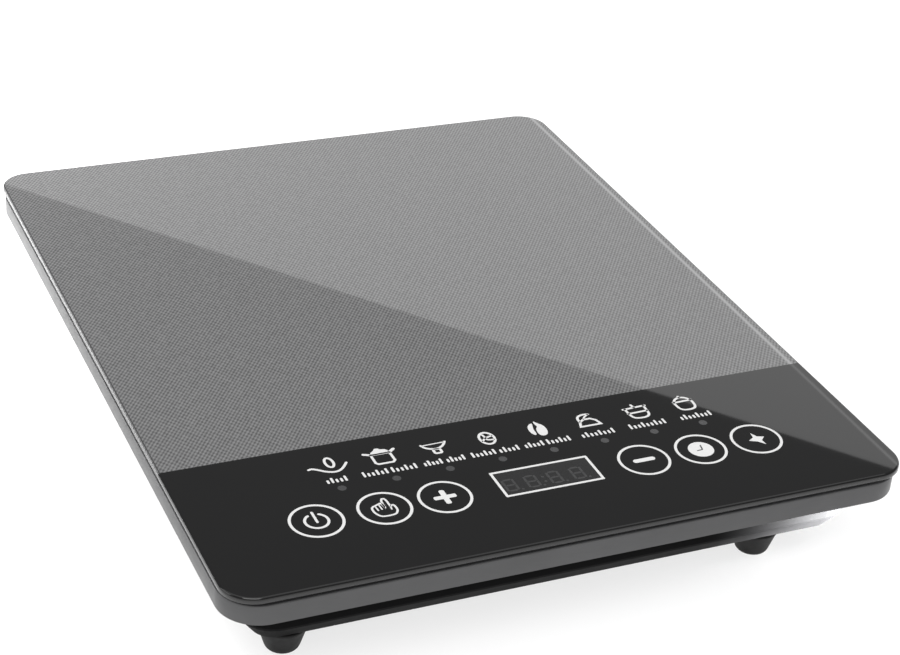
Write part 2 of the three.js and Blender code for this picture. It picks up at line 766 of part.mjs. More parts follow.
function addCoil() {
  const plateTop = COIL.formerBottom + COIL.formerPlate;
  add('coil_former', makeCoilFormer(), 'former', [COIL.x, COIL.y, COIL.formerBottom]);
  add('coil_winding', makeCoilWinding(), 'copper', [COIL.x, COIL.y, plateTop + GAP]);
  add('mica_sheet', makeMicaSheet(), 'mica', [COIL.x, COIL.y, MICA.bottom]);
  add('sensor_cap', makeSensorCap(), 'silicone', [COIL.x, COIL.y, plateTop + GAP]);
  for (let i = 0; i < COIL.arms; i += 1) {
    const angle = degrees((360 * i) / COIL.arms);
    const x = COIL.x + FERRITE.middle * Math.cos(angle);
    const y = COIL.y + FERRITE.middle * Math.sin(angle);
    const z = COIL.formerBottom - GAP - FERRITE.height;
    add(`ferrite_bar_${i + 1}`, makeFerriteBar(), 'ferrite', [x, y, z], [0, 0, angle]);
  }
  coilEars().forEach(([x, y], i) => {
    const body = screw(SCREW.head, SCREW.headHeight, SCREW.shank, 10);
    add(`coil_screw_${i + 1}`, body, 'screw', [x, y, COIL.formerBottom + COIL.formerPlate + GAP]);
  });
  add('coil_lead_outer', coilLeadOuter(), 'wire');
  add('coil_lead_inner', coilLeadInner(), 'wire');
}

function addPowerBoard() {
  const top = POWER_BOARD.top + GAP;
  add('power_board', makeBoard(POWER_BOARD, POWER_POSTS.slice(0, 2)), 'board');
  add('heatsink', makeHeatsink(), 'aluminium');
  add('power_transistor', makePowerTransistor(), 'blackPart');
  add('bridge_rectifier', makeBridgeRectifier(), 'blackPart');
  add('resonant_capacitor', makeBlockPart(40, 70, -98, -80, 32.5), 'bluePart');
  add('filter_capacitor', makeBlockPart(40, 62, -72, -54, 31), 'yellowPart');
  add('choke_coil', makeChokeCoil(), 'copper');
  add('electrolytic_capacitor', makeElectrolyticCapacitor(), 'blackPart', [22, -128, top]);
  add('small_transformer', makeSmallTransformer(), 'yellowPart');
  add('fuse', makeFuse(), 'whitePart');
  add('buzzer', makeBuzzer(), 'blackPart', [-33, -124, top]);
  add('mains_terminal', makeMainsTerminal(), 'whitePart');
  add('ribbon_cable', flatCable(), 'whitePart');
  POWER_POSTS.slice(0, 2).forEach(([x, y], i) => {
    const body = screw(SCREW.head, SCREW.headHeight, SCREW.shank, 5.6);
    add(`power_board_screw_${i + 1}`, body, 'screw', [x, y, top]);
  });
}

function addControls() {
  const top = CONTROL_BOARD.top + GAP;
  add('control_board', makeControlBoard(), 'board');
  add('display_module', makeDisplayModule(), 'whitePart');
  KEYS.x.forEach((x, i) => add(`touch_spring_${i + 1}`, makeTouchSpring(), 'screw', [x, KEYS.y, top]));
  CONTROL_POSTS.slice(0, 2).forEach(([x, y], i) => {
    const body = screw(SCREW.head, SCREW.headHeight, SCREW.shank, 10);
    add(`control_board_screw_${i + 1}`, body, 'screw', [x, y, top]);
  });
}

function addFan() {
  add('fan_frame', makeFanFrame(), 'blackPart', [FAN.x, FAN.y, FAN.bottom]);
  add('fan_rotor', makeFanRotor(), 'blackPart', [FAN.x, FAN.y, FAN.bottom]);
  add('fan_lead', fanLead(), 'wire');
  fanScrewPlaces().forEach(([x, y], i) => {
    const body = crossHeadScrew(SCREW.head, SCREW.headHeight, SCREW.shank, 11);
    add(`fan_screw_${i + 1}`, body, 'screw', [x, y, SHELL.bottom - GAP], [Math.PI, 0, 0]);
  });
}

addCase();
addCoil();
addPowerBoard();
addControls();
addFan();

export default cooktop;
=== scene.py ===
"""Looks of a portable induction cooktop: printed glass, moulded case, rubber feet, coil, boards and fan.

Metres, +Z up, the control strip at -Y. The printed marks are drawn in millimetres.
"""

import json
import math

import bmesh
import bpy
from mathutils import Matrix, Vector


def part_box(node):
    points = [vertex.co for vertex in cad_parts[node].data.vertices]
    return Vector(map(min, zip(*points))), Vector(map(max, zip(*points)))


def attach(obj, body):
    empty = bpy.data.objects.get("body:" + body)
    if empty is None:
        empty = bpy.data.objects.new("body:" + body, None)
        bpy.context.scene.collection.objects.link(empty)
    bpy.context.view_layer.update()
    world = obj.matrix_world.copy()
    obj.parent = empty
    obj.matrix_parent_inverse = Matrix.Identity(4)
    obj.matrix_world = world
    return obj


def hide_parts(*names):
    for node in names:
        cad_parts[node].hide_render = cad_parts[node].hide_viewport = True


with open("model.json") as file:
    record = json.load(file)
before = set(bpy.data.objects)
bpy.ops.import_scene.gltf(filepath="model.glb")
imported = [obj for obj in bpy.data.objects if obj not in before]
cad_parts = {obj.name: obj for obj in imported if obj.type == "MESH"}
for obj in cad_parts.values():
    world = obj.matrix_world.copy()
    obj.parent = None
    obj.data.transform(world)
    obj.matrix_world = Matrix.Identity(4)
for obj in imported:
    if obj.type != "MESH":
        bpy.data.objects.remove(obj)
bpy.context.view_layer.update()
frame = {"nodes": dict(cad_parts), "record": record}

MM = 0.001
BODY = "cooktop_body"
TURN = 2 * math.pi

# ---- Driving sizes -----------------------------------------------------------------------------

GLASS_LOW, GLASS_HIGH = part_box("glass_plate")
FRAME_LOW, FRAME_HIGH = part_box("top_frame")
SHELL_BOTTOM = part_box("bottom_shell")[0].z

CORNER_STEPS = 20
GLASS_CORNER = 13.5 * MM
FRAME_CORNER = 16.5 * MM
BEVEL_OUT = 0.9 * MM
BEVEL_DOWN = 1.1 * MM

PRINT_TOP = GLASS_HIGH.z - 0.01 * MM     # upper face of the white print
PRINT_DEPTH = 0.06 * MM
HANDS_TOP = PRINT_TOP + 0.008 * MM       # the dark hands on the white clock face
GLASS_TOP = GLASS_HIGH.z - 0.04 * MM     # the glass itself, a hair under its print
PANE_TOP = GLASS_TOP + 0.004 * MM
GHOST_TOP = GLASS_TOP + 0.01 * MM        # unlit lamps and digits, over the pane
EDGE_STEPS = 8
CAP_STEPS = 8                            # round ends of printed lines
STRIP_EDGE = -89.7 * MM                  # the woven print ends here, the plain control strip begins

WEAVE_LEAN = 54.0                        # degrees from the X axis
WEAVE_PITCH = 1.4 * MM
WEAVE_DARK = (0.088, 0.088, 0.089)
WEAVE_LIGHT = (0.25, 0.25, 0.252)
STRIP_DARK = (0.0056, 0.0056, 0.0058)
STRIP_LIGHT = (0.0074, 0.0074, 0.0076)
SIDE_DARK = (0.018, 0.018, 0.0185)
SIDE_LIGHT = (0.03, 0.03, 0.0305)
EDGE_HIGHLIGHT = 135.8 * MM                   # middle of the painted highlight along the right edge, a reflection painted into the glass's colour
EDGE_HIGHLIGHT_HALF = 1.3 * MM
HAIRLINE_IN = 0.75 * MM                  # the darker hairline all round, inside the plate's edge
HAIRLINE_HALF = 0.22 * MM

# places of the printed marks, in millimetres
KEY_ROW = -136.9
KEY_RADIUS = 10.0
KEY_LINE = 1.12 * MM
KEYS = {"power": -94.0, "hand": -67.25, "plus": -43.0, "minus": 41.05, "timer": 66.2, "boost": 91.3}
LAMP_ROW = -119.7
LAMP_FIRST = -77.6
LAMP_PITCH = 22.04
LAMP_RADIUS = 1.7
DISPLAY = (-20.4, 19.95, -143.7, -127.8)  # middle of the white line: x from, to, y from, to, in mm
DISPLAY_LINE = 1.1
DIGITS = (-16.3, -7.2, 2.4, 12.0)
DIGIT_ROW = -137.2
COLON_X = -2.1
LINE = 1.05 * MM                         # the printed marks' line width
FINE = 0.75 * MM
CAPTION_FOOT = -115.15                   # mm
CAPTION_LOW, CAPTION_TALL = 1.4, 2.6

COPPER = (0.62, 0.2, 0.07)
STRAND_PITCH = 0.9 * MM
BOARD_GREEN = (0.02, 0.1, 0.042)

CLEAR = 0.3 * MM                         # air between neighbouring parts
SLIVER = 0.001 * MM                      # keeps two cutting faces from lying in one plane
RIM_LOW = 26.2 * MM                      # underside of the rim's flange
RIM_WALL = 2.2 * MM
LEDGE_BOTTOM = 31.9 * MM
LEDGE_WIDTH = 9.0 * MM
FLANGE = 2.0 * MM
LIP = 2.7 * MM
SEAL_WIDTH = 8.0 * MM
SKIRT = 1.6 * MM
SKIRT_ROOT = 0.5 * MM                    # how far the skirt goes into the flange
SKIRT_RISE = 0.5 * MM                    # the skirt stops this far above the bosses' feet
SHELL_INSIDE = (-128.8 * MM, 118.3 * MM, -167.9 * MM, 167.9 * MM, 11.8 * MM)
EAR_HALF = 3.8 * MM
BOSS_RADIUS, BOSS_HEIGHT = 4.2 * MM, 4.8 * MM
PILOT_RADIUS, PILOT_HEIGHT = 1.6 * MM, 4.9 * MM
EARS = (                                 # screw bosses: x, y and the wall that each stands by
    (-117 * MM, -120 * MM, "left"), (-117 * MM, 120 * MM, "left"),
    (107 * MM, -120 * MM, "right"), (107 * MM, 120 * MM, "right"),
    (-5.3 * MM, -158.5 * MM, "front"), (-5.3 * MM, 158.5 * MM, "rear"),
)
GLAND_X = 80 * MM
GLAND_FACE = 170.4 * MM                  # the case's back face at the cord bush
GLAND_GAP = 10.5 * MM                    # half the skirt's gap for the bush

# ---- Mesh helpers ------------------------------------------------------------------------------

def outline(x0, x1, y0, y1, r):
    """A rounded rectangle: its sides and its corner radius."""
    return (x0, x1, y0, y1, r)


def grown(o, d):
    """The outline at a distance d outside another, or inside it."""
    return (o[0] - d, o[1] + d, o[2] - d, o[3] + d, max(o[4] + d, 0.05 * MM))


def outline_points(o, steps=CORNER_STEPS):
    x0, x1, y0, y1, r = o
    centres = ((x1 - r, y1 - r), (x0 + r, y1 - r), (x0 + r, y0 + r), (x1 - r, y0 + r))
    points = []
    for quarter, (x, y) in enumerate(centres):
        for i in range(steps + 1):
            a = (quarter + i / steps) * math.pi / 2
            points.append((x + r * math.cos(a), y + r * math.sin(a)))
    return points


def mesh_object(name, verts, faces, material=None, sharp=32):
    mesh = bpy.data.meshes.new(name)
    mesh.from_pydata([tuple(v) for v in verts], [], faces)
    bm = bmesh.new()
    bm.from_mesh(mesh)
    bmesh.ops.remove_doubles(bm, verts=bm.verts, dist=1e-7)
    bmesh.ops.recalc_face_normals(bm, faces=bm.faces)
    bm.to_mesh(mesh)
    bm.free()
    obj = bpy.data.objects.new(name, mesh)
    bpy.context.scene.collection.objects.link(obj)
    finish_mesh(obj, material, sharp)
    return obj


def shade_faces(mesh, sharp=32):
    """Smooth walls, flat caps."""
    mesh.set_sharp_from_angle(angle=math.radians(sharp))
    mesh.polygons.foreach_set("use_smooth", [len(p.vertices) <= 4 for p in mesh.polygons])


def finish_mesh(obj, material=None, sharp=32):
    shade_faces(obj.data, sharp)
    if material:
        obj.data.materials.clear()
        obj.data.materials.append(material)


def loft(name, levels, material=None, loop=False, sharp=32):
    """A wall through rounded rectangles at rising heights: capped at both ends, or closed on itself."""
    rings = [[(x, y, z) for x, y in outline_points(o)] for z, o in levels]
    count = len(rings[0])
    verts = [point for ring in rings for point in ring]
    faces = []
    last = len(rings) if loop else len(rings) - 1
    for k in range(last):
        a, b = k * count, ((k + 1) % len(rings)) * count
        for i in range(count):
            j = (i + 1) % count
            faces.append((a + i, a + j, b + j, b + i))
    if not loop:
        faces.append(tuple(reversed(range(count))))
        faces.append(tuple(range((len(rings) - 1) * count, len(rings) * count)))
    return mesh_object(name, verts, faces, material, sharp)


def lathe(name, profile, material=None, sides=48, centre=(0, 0, 0), axis="Z", loop=False):
    """A turned body from (radius, height) points; loop closes the profile on itself."""
    verts, faces, rows = [], [], []
    for r, h in profile:
        row = []
        for i in range(1 if r < 1e-9 else sides):
            a = TURN * i / sides
            row.append(len(verts))
            verts.append(Vector((r * math.cos(a), r * math.sin(a), h)))
        rows.append(row)
    pairs = list(zip(rows, rows[1:]))
    if loop:
        pairs.append((rows[-1], rows[0]))
    for low, high in pairs:
        for i in range(sides):
            j = (i + 1) % sides
            corners = [low[i % len(low)], low[j % len(low)], high[j % len(high)], high[i % len(high)]]
            corners = list(dict.fromkeys(corners))
            if len(corners) > 2:
                faces.append(tuple(corners))
    if axis == "Y":
        verts = [Vector((v.x, v.z, -v.y)) for v in verts]
    verts = [v + Vector(centre) for v in verts]
    return mesh_object(name, verts, faces, material)


def post(name, radius, height, centre, sides):
    """A plain round pin that stands on its centre."""
    return lathe(name, [(0, 0), (radius, 0), (radius, height), (0, height)], sides=sides, centre=centre)


def block(name, low, high):
    """A plain box between two corners."""
    (x0, y0, z0), (x1, y1, z1) = low, high
    verts = [(x, y, z) for z in (z0, z1) for y in (y0, y1) for x in (x0, x1)]
    faces = [(0, 2, 3, 1), (4, 5, 7, 6), (0, 1, 5, 4), (2, 6, 7, 3), (0, 4, 6, 2), (1, 3, 7, 5)]
    return mesh_object(name, verts, faces)


def join(name, parts):
    """One object from several meshes, which keep their own materials."""
    verts, faces, slots, materials = [], [], [], []
    for part in parts:
        base = len(verts)
        mesh = part.data
        verts += [part.matrix_world @ v.co for v in mesh.vertices]
        own = list(mesh.materials)
        for m in own:
            if m not in materials:
                materials.append(m)
        for p in mesh.polygons:
            faces.append(tuple(base + v for v in p.vertices))
            slots.append(materials.index(own[p.material_index]) if own else 0)
        bpy.data.objects.remove(part)
    mesh = bpy.data.meshes.new(name)
    mesh.from_pydata([tuple(v) for v in verts], [], faces)
    obj = bpy.data.objects.new(name, mesh)
    bpy.context.scene.collection.objects.link(obj)
    for m in materials:
        mesh.materials.append(m)
    mesh.polygons.foreach_set("material_index", slots)
    shade_faces(mesh)
    return obj


def carve(obj, cutter, operation="DIFFERENCE"):
    """Cuts one mesh with another, and removes the cutter."""
    modifier = obj.modifiers.new("carve", "BOOLEAN")
    modifier.operation = operation
    modifier.solver = "EXACT"
    modifier.use_self = True
    modifier.object = cutter
    apply_modifiers(obj)
    bpy.data.objects.remove(cutter)


def apply_modifiers(obj):
    bpy.context.view_layer.update()
    done = bpy.data.meshes.new_from_object(obj.evaluated_get(bpy.context.evaluated_depsgraph_get()))
    obj.modifiers.clear()
    obj.data = done


def put(obj, replaces=None):
    """Makes a piece ride with the case, and hides the CAD node that it stands for."""
    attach(obj, BODY)
    if replaces:
        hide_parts(replaces)
    return obj


# ---- Materials ---------------------------------------------------------------------------------

MATERIALS = {}


def material(name):
    return MATERIALS[name]


class Shader:
    """A material's node tree with one Principled shader, built by short calls."""

    def __init__(self, name, color, roughness, metallic=0.0, **sockets):
        self.material = bpy.data.materials.new(name)
        self.material.use_nodes = True
        self.tree = self.material.node_tree
        self.shader = self.tree.nodes["Principled BSDF"]
        self.material.diffuse_color = (*color, 1)
        self.shader.inputs["Base Color"].default_value = (*color, 1)
        self.shader.inputs["Roughness"].default_value = roughness
        self.shader.inputs["Metallic"].default_value = metallic
        for socket, value in sockets.items():
            self.shader.inputs[socket.replace("_", " ")].default_value = value
        where = self.node("ShaderNodeTexCoord")
        self.place, self.generated = where.outputs["Object"], where.outputs["Generated"]

    def node(self, kind, **values):
        node = self.tree.nodes.new(kind)
        for key, value in values.items():
            setattr(node, key, value)
        return node

    def link(self, source, target):
        self.tree.links.new(source, target)

    def math(self, operation, a, b=None, c=None):
        node = self.node("ShaderNodeMath", operation=operation)
        for socket, value in zip(node.inputs, (a, b, c)):
            if value is None:
                continue
            if isinstance(value, (int, float)):
                socket.default_value = value
            else:
                self.link(value, socket)
        return node.outputs[0]

    def noise(self, scale, detail=3.0, stretch=None):
        node = self.node("ShaderNodeTexNoise")
        node.inputs["Scale"].default_value = scale
        node.inputs["Detail"].default_value = detail
        node.inputs["Roughness"].default_value = 0.55
        source = self.place
        if stretch:
            mapping = self.node("ShaderNodeMapping")
            mapping.inputs["Scale"].default_value = stretch
            self.link(self.place, mapping.inputs["Vector"])
            source = mapping.outputs["Vector"]
        self.link(source, node.inputs["Vector"])
        return node.outputs["Fac"]

    def ramp(self, value, low, high):
        """Maps a 0 to 1 value to a range of numbers."""
        node = self.node("ShaderNodeMapRange")
        node.inputs["To Min"].default_value = low
        node.inputs["To Max"].default_value = high
        self.link(value, node.inputs["Value"])
        return node.outputs["Result"]

    def blend(self, factor, first, second):
        """Mixes two colours, each a colour or another mix."""
        node = self.node("ShaderNodeMix", data_type="RGBA")
        self.link(factor, node.inputs["Factor"])
        for socket, value in ((node.inputs[6], first), (node.inputs[7], second)):
            if isinstance(value, tuple):
                socket.default_value = (*value, 1)
            else:
                self.link(value, socket)
        return node.outputs[2]

    def color(self, source):
        self.link(source, self.shader.inputs["Base Color"])

    def roughness(self, source):
        self.link(source, self.shader.inputs["Roughness"])

    def bump(self, height, distance, strength=1.0):
        node = self.node("ShaderNodeBump")
        node.inputs["Strength"].default_value = strength
        node.inputs["Distance"].default_value = distance
        self.link(height, node.inputs["Height"])
        self.link(node.outputs["Normal"], self.shader.inputs["Normal"])


def shade(color, factor):
    return tuple(c * factor for c in color)


def plastic(name, color, roughness, grain=2600.0, depth=0.02 * MM, gloss=0.5):
    """Moulded plastic: a fine pebbled grain, faint tone changes and slightly uneven gloss."""
    s = Shader(name, color, roughness, Specular_IOR_Level=gloss)
    s.color(s.blend(s.noise(38.0), shade(color, 0.88), shade(color, 1.12)))
    s.roughness(s.ramp(s.noise(160.0, 4.0), roughness - 0.05, roughness + 0.07))
    s.bump(s.noise(grain, 2.0), depth)
    return s.material


def rubber(name, color):
    s = Shader(name, color, 0.62, Specular_IOR_Level=0.25)
    dust = s.noise(420.0, 5.0)
    s.color(s.blend(dust, shade(color, 0.8), shade(color, 1.5)))
    s.roughness(s.ramp(s.noise(240.0), 0.5, 0.75))
    s.bump(s.noise(3200.0, 3.0), 0.03 * MM)
    return s.material


def metal(name, color, roughness, stretch=(1.0, 1.0, 14.0), scale=300.0):
    """Drawn or rolled metal with fine lines along one direction."""
    s = Shader(name, color, roughness, 1.0)
    lines = s.noise(scale, 4.0, stretch)
    s.color(s.blend(lines, shade(color, 0.88), shade(color, 1.1)))
    s.roughness(s.ramp(lines, roughness - 0.06, roughness + 0.1))
    s.bump(lines, 0.01 * MM, 0.6)
    return s.material


def copper_wire(name):
    """Enamelled copper: round strands that run round the coil's middle."""
    s = Shader(name, COPPER, 0.3, 1.0)
    low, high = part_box("coil_winding")
    split = s.node("ShaderNodeSeparateXYZ")
    s.link(s.generated, split.inputs[0])
    east = s.math("MULTIPLY", s.math("SUBTRACT", split.outputs["X"], 0.5), high.x - low.x)
    north = s.math("MULTIPLY", s.math("SUBTRACT", split.outputs["Y"], 0.5), high.y - low.y)
    radius = s.math("SQRT", s.math("ADD", s.math("MULTIPLY", east, east), s.math("MULTIPLY", north, north)))
    strands = s.math("SINE", s.math("MULTIPLY", radius, TURN / STRAND_PITCH))
    strands = s.math("MULTIPLY_ADD", strands, 0.5, 0.5)
    tone = s.blend(s.noise(60.0, 4.0), shade(COPPER, 0.75), shade(COPPER, 1.2))
    # the dark troughs between strands are painted shade between the round wires
    s.color(s.blend(strands, shade(COPPER, 0.3), tone))
    s.roughness(s.ramp(s.noise(500.0), 0.24, 0.42))
    s.bump(strands, 0.35 * MM)
    return s.material


def circuit_board(name):
    """Green solder mask over faint copper tracks on a square grid."""
    s = Shader(name, BOARD_GREEN, 0.3, Coat_Weight=0.4, Coat_Roughness=0.15)
    cells = s.node("ShaderNodeTexBrick", offset=0.5, offset_frequency=2)
    cells.inputs["Scale"].default_value = 62.0
    cells.inputs["Mortar Size"].default_value = 0.06
    cells.inputs["Mortar Smooth"].default_value = 0.0
    s.link(s.place, cells.inputs["Vector"])
    mask = s.blend(s.noise(35.0), shade(BOARD_GREEN, 0.8), shade(BOARD_GREEN, 1.15))
    s.color(s.blend(cells.outputs["Fac"], mask, shade(BOARD_GREEN, 1.9)))
    s.roughness(s.ramp(s.noise(700.0, 4.0), 0.24, 0.4))
    s.bump(cells.outputs["Fac"], 0.04 * MM)
    return s.material


def flaked(name, dark, light, roughness, scale, depth):
    """Pressed flakes: mica sheet, or the grains of sintered ferrite."""
    s = Shader(name, light, roughness)
    cells = s.node("ShaderNodeTexVoronoi")
    cells.inputs["Scale"].default_value = scale
    s.link(s.place, cells.inputs["Vector"])
    s.color(s.blend(s.math("MULTIPLY_ADD", cells.outputs["Distance"], 0.7, s.noise(scale / 6)), dark, light))
    s.roughness(s.ramp(cells.outputs["Distance"], roughness - 0.1, roughness + 0.15))
    s.bump(s.noise(scale, 4.0), depth)
    return s.material


def enamel(name, color, roughness=0.3):
    """Screen-printed ceramic ink with a faint mottle."""
    s = Shader(name, color, roughness)
    s.color(s.blend(s.noise(900.0, 4.0), shade(color, 0.93), shade(color, 1.03)))
    s.roughness(s.ramp(s.noise(1500.0), roughness - 0.06, roughness + 0.08))
    s.bump(s.noise(2600.0), 0.003 * MM)
    return s.material


def glass_top():
    """Black ceramic glass: a plain strip in front, a woven grey print behind it and ground sides."""
    s = Shader("black_glass", (0.004, 0.004, 0.0043), 0.045, IOR=1.5)
    split = s.node("ShaderNodeSeparateXYZ")
    s.link(s.place, split.inputs[0])
    x, y, z = split.outputs["X"], split.outputs["Y"], split.outputs["Z"]

    # distance inwards from the plate's rounded outline
    past_x = s.math("SUBTRACT", s.math("ABSOLUTE", x), GLASS_HIGH.x - GLASS_CORNER)
    past_y = s.math("SUBTRACT", s.math("ABSOLUTE", y), GLASS_HIGH.y - GLASS_CORNER)
    out_x, out_y = s.math("MAXIMUM", past_x, 0.0), s.math("MAXIMUM", past_y, 0.0)
    corner = s.math("SQRT", s.math("ADD", s.math("MULTIPLY", out_x, out_x), s.math("MULTIPLY", out_y, out_y)))
    flat = s.math("MINIMUM", s.math("MAXIMUM", past_x, past_y), 0.0)
    inset = s.math("SUBTRACT", GLASS_CORNER, s.math("ADD", corner, flat))

    # slanting threads, crossed by fainter ones, broken into short dashes
    lean = math.radians(WEAVE_LEAN)
    rise = s.math("MULTIPLY", x, math.sin(lean))
    fall = s.math("MULTIPLY", y, math.cos(lean))
    bright = s.math("SINE", s.math("MULTIPLY", s.math("SUBTRACT", rise, fall), TURN / WEAVE_PITCH))
    crossed = s.math("SINE", s.math("MULTIPLY", s.math("ADD", rise, fall), TURN / (1.35 * WEAVE_PITCH)))
    uneven = s.math("SUBTRACT", s.noise(700.0, 2.0), 0.5)
    level = s.math("MULTIPLY_ADD", bright, 0.33, 0.5)
    level = s.math("MULTIPLY_ADD", crossed, 0.2, level)
    level = s.math("MULTIPLY_ADD", uneven, 0.9, level)
    level = s.math("MINIMUM", s.math("MAXIMUM", level, 0.0), 1.0)
    weave = s.blend(level, WEAVE_DARK, WEAVE_LIGHT)

    # a painted highlight along the right edge (a reflection painted into the colour), a darker hairline all
    # round
    painted_highlight = s.math("MULTIPLY", s.math("SUBTRACT", x, EDGE_HIGHLIGHT), 1 / EDGE_HIGHLIGHT_HALF)
    painted_highlight = s.math("SUBTRACT", 1.0, s.math("MINIMUM", s.math("ABSOLUTE", painted_highlight), 1.0))
    weave = s.blend(s.math("MULTIPLY", painted_highlight, 0.85), weave, shade(WEAVE_LIGHT, 1.7))
    hairline = s.math("LESS_THAN", s.math("ABSOLUTE", s.math("SUBTRACT", inset, HAIRLINE_IN)), HAIRLINE_HALF)
    weave = s.blend(hairline, weave, shade(WEAVE_DARK, 0.7))

    strip = s.blend(s.noise(26.0), STRIP_DARK, STRIP_LIGHT)
    # the same painted highlight runs faintly across the plain strip
    strip = s.blend(s.math("MULTIPLY", painted_highlight, 0.25), strip, WEAVE_LIGHT)
    tone = s.blend(s.math("GREATER_THAN", y, STRIP_EDGE), strip, weave)
    side = s.math("LESS_THAN", z, GLASS_TOP - BEVEL_DOWN)
    s.color(s.blend(side, tone, s.blend(s.noise(300.0), SIDE_DARK, SIDE_LIGHT)))
    polish = s.ramp(s.noise(45.0, 4.0), 0.012, 0.024)
    s.roughness(s.math("MULTIPLY_ADD", side, 0.2, polish))
    s.bump(s.noise(12.0, 1.0), 0.003 * MM)
    return s.material


def make_materials():
    MATERIALS.update({
        "black_glass": glass_top(),
        "print_white": enamel("print_white", (0.87, 0.87, 0.865)),
        "print_dark": enamel("print_dark", (0.01, 0.01, 0.0105)),
        "print_ghost": enamel("print_ghost", (0.048, 0.048, 0.049), 0.2),
        "display_pane": enamel("display_pane", (0.023, 0.023, 0.0235), 0.12),
        "lamp_dot": enamel("lamp_dot", (0.055, 0.055, 0.057), 0.25),
        "rim": plastic("rim_plastic", (0.106, 0.106, 0.108), 0.32, gloss=0.15),
        "shell_dark": plastic("shell_plastic", (0.006, 0.006, 0.0062), 0.5, gloss=0.02),
        "foot": rubber("foot_rubber", (0.006, 0.006, 0.006)),
        "seal": plastic("seal_silicone", (0.004, 0.004, 0.004), 0.16, gloss=0.1),
        "screw_steel": metal("screw_steel", (0.5, 0.51, 0.53), 0.3),
        "former_plastic": plastic("former_plastic", (0.62, 0.58, 0.5), 0.5),
        "copper": copper_wire("copper"),
        "ferrite": flaked("ferrite", (0.02, 0.021, 0.024), (0.05, 0.051, 0.056), 0.6, 900.0, 0.05 * MM),
        "mica": flaked("mica", (0.42, 0.33, 0.17), (0.66, 0.58, 0.4), 0.4, 260.0, 0.04 * MM),
        "silicone": rubber("white_silicone", (0.6, 0.6, 0.56)),
        "circuit_board": circuit_board("circuit_board"),
        "aluminium": metal("aluminium", (0.62, 0.62, 0.64), 0.36, (1.0, 12.0, 1.0), 240.0),
        "black_moulding": plastic("black_moulding", (0.012, 0.012, 0.013), 0.45),
        "blue_case": plastic("blue_case", (0.02, 0.09, 0.3), 0.25, 900.0, 0.03 * MM),
        "yellow_case": plastic("yellow_case", (0.68, 0.42, 0.05), 0.3, 900.0, 0.03 * MM),
        "white_moulding": plastic("white_moulding", (0.7, 0.7, 0.67), 0.42),
        "wire_jacket": rubber("wire_jacket", (0.4, 0.03, 0.02)),
    })


# ---- Flat print --------------------------------------------------------------------------------

def flat_ring(outer, inner, top, material):
    """A flat ring between two loops with the same number of points."""
    n = len(outer)
    verts = [(x, y, top) for x, y in outer + inner]
    verts += [(x, y, top - PRINT_DEPTH) for x, y in outer + inner]
    faces = []
    for i in range(n):
        j = (i + 1) % n
        faces.append((i, j, n + j, n + i))
        faces.append((2 * n + i, 3 * n + i, 3 * n + j, 2 * n + j))
        faces.append((i, 2 * n + i, 2 * n + j, j))
        faces.append((n + i, n + j, 3 * n + j, 3 * n + i))
    return mesh_object("ring", verts, faces, material)


def filled(points, material, top=PRINT_TOP):
    """A printed patch inside one outline."""
    n = len(points)
    verts = [(x, y, top) for x, y in points] + [(x, y, top - PRINT_DEPTH) for x, y in points]
    faces = [tuple(range(n)), tuple(reversed(range(n, 2 * n)))]
    faces += [(i, n + i, n + (i + 1) % n, (i + 1) % n) for i in range(n)]
    return mesh_object("patch", verts, faces, material)


def stroke(points, width, material, closed=False, top=PRINT_TOP):
    """A drawn line of even width with round ends, or a closed one."""
    points = [Vector(p) for p in points]
    n = len(points)
    half = width / 2
    left, right = [], []
    for i, p in enumerate(points):
        before = points[i - 1] if closed or i else p
        after = points[(i + 1) % n] if closed or i < n - 1 else p
        a = (p - before).normalized() if (p - before).length > 1e-9 else (after - p).normalized()
        b = (after - p).normalized() if (after - p).length > 1e-9 else a
        along = (a + b).normalized() if (a + b).length > 1e-6 else a
        normal = Vector((-along.y, along.x))
        reach = half / max(normal.dot(Vector((-a.y, a.x))), 0.5)
        left.append(p + normal * reach)
        right.append(p - normal * reach)
    if closed:
        return flat_ring(left, right, top, material)
    start, end = (points[0] - points[1]).normalized(), (points[-1] - points[-2]).normalized()
    cap_end = round_cap(points[-1], end, half)
    cap_start = round_cap(points[0], start, half)
    return filled(right + cap_end + left[::-1] + cap_start, material, top)


def round_cap(centre, outward, radius):
    side = Vector((outward.y, -outward.x))
    angles = [math.pi * k / CAP_STEPS for k in range(1, CAP_STEPS)]
    return [centre + side * radius * math.cos(a) + outward * radius * math.sin(a) for a in angles]


def arc(cx, cy, rx, start, end, steps=24, ry=None):
    ry = rx if ry is None else ry
    angles = [math.radians(start + (end - start) * i / steps) for i in range(steps + 1)]
    return [(cx + rx * math.cos(a), cy + ry * math.sin(a)) for a in angles]


def circle(cx, cy, rx, steps=48, ry=None):
    return arc(cx, cy, rx, 0, 360, steps, ry)[:-1]


def smooth(points, closed=False, rounds=3):
    """Rounds a polyline by cutting its corners."""
    for _ in range(rounds):
        pairs = list(zip(points, points[1:] + points[:1])) if closed else list(zip(points, points[1:]))
        fine = []
        for (ax, ay), (bx, by) in pairs:
            fine.append((ax * 0.75 + bx * 0.25, ay * 0.75 + by * 0.25))
            fine.append((ax * 0.25 + bx * 0.75, ay * 0.25 + by * 0.75))
        points = fine if closed else [points[0]] + fine + [points[-1]]
    return points


def at(points, x=0.0, y=0.0):
    """Millimetre points about (x, y), turned into metres."""
    return [((px + x) * MM, (py + y) * MM) for px, py in points]


def rounded(x0, x1, y0, y1, r):
    """A small rounded rectangle, in millimetres."""
    return outline_points((x0, x1, y0, y1, r), 4)


def lines(paths, width, ink):
    return [stroke(at(path), width, ink) for path in paths]


def symbol_power(x, y, ink):
    ring = arc(0, -0.1, 4.45, 119, 421, 40)
    return [stroke(at(ring, x, y), LINE, ink), stroke(at([(0, 5.6), (0, -0.9)], x, y), 1.0 * MM, ink)]


